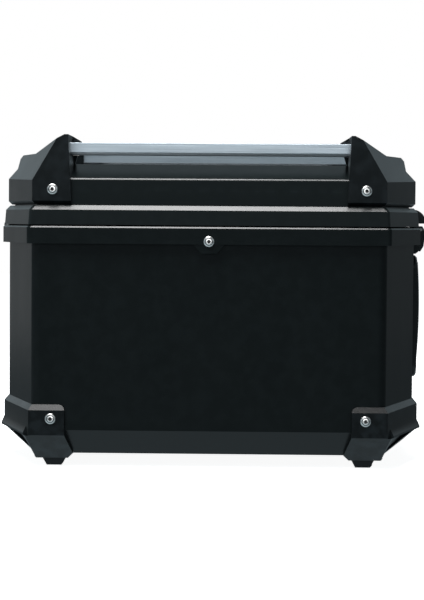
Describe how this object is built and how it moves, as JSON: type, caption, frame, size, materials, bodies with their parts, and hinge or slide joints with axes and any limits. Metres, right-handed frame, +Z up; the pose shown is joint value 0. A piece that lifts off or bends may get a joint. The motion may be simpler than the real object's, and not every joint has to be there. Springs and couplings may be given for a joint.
{
  "type": "motorcycle top case",
  "caption": "Hard motorcycle top case: octagonal tub with armoured corners, hinged lid with metal rack rails, keyed over-centre latch and sealed rim.",
  "frame": {"origin": "centre of the mounting bolt pattern, on the underside of the case floor", "axes": "+Z up, -Y towards the latch (the back of the motorcycle), +Y towards the hinges (the rider), X across the case"},
  "size_m": [0.4552, 0.456, 0.3361],
  "materials": {
    "shell_plastic": "satin moulded black, fine grain",
    "armour_plastic": "satin moulded black, fine grain",
    "latch_plastic": "satin moulded black",
    "insert_gloss": "smooth black",
    "rail_aluminium": "satin anodised extrusion",
    "screw_steel": "bright stainless",
    "zinc_steel": "zinc plated",
    "hinge_steel": "black powder coat",
    "key_metal": "polished",
    "seal_rubber": "matt",
    "mat_rubber": "foam rubber, ribbed"
  },
  "bodies": {
    "case": {"body_shell": "shell_plastic", "floor_mat": "mat_rubber", "floor_plate": "zinc_steel", "foot_pads": "seal_rubber", "front_insert": "insert_gloss", "front_panel": "latch_plastic", "front_panel_screws": "screw_steel", "guard_front_left": "armour_plastic", "guard_front_right": "armour_plastic", "guard_nuts": "zinc_steel", "guard_rear_left": "armour_plastic", "guard_rear_right": "armour_plastic", "guard_screws": "screw_steel", "hinge_body_leaf_left": "hinge_steel", "hinge_body_leaf_right": "hinge_steel", "hinge_body_nuts": "zinc_steel", "hinge_body_screws": "screw_steel", "hinge_pins": "zinc_steel", "latch_base": "latch_plastic", "latch_nuts": "zinc_steel", "latch_pin": "zinc_steel", "latch_screws": "screw_steel", "latch_springs": "zinc_steel", "rim_band": "shell_plastic", "rim_nuts": "zinc_steel", "rim_screws": "screw_steel", "rim_seal": "seal_rubber"},
    "lid": {"lid_shell": "shell_plastic", "lid_frame": "shell_plastic", "rail_left": "rail_aluminium", "rail_right": "rail_aluminium", "rail_screws": "screw_steel", "bracket_screws": "screw_steel", "bracket_nuts": "zinc_steel", "lid_catch": "latch_plastic", "striker": "zinc_steel", "catch_screws": "screw_steel", "hinge_lid_leaf_left": "hinge_steel", "hinge_lid_leaf_right": "hinge_steel", "hinge_lid_screws": "screw_steel", "hinge_lid_nuts": "zinc_steel", "bracket_front_left": "armour_plastic", "bracket_front_right": "armour_plastic", "bracket_rear_left": "armour_plastic", "bracket_rear_right": "armour_plastic"},
    "lever": {"latch_lever": "latch_plastic"},
    "lock": {"key_cylinder": "key_metal", "lock_cam": "zinc_steel"}
  },
  "joints": [
    {"name": "lid_hinge", "type": "hinge", "parent": "case", "child": "lid", "pos_m": [0, 0.2195, 0.2319], "axis": [-1, 0, 0], "range_deg": [0, 95]},
    {"name": "latch_pivot", "type": "hinge", "parent": "case", "child": "lever", "pos_m": [0, -0.2265, 0.2295], "axis": [-1, 0, 0], "range_deg": [0, 25], "stiffness_Nm_per_rad": 0.05, "springref_deg": -17.19},
    {"name": "key_turn", "type": "hinge", "parent": "lever", "child": "lock", "pos_m": [0, -0.2265, 0.218], "axis": [0, -1, 0], "range_deg": [0, 90]}
  ]
}
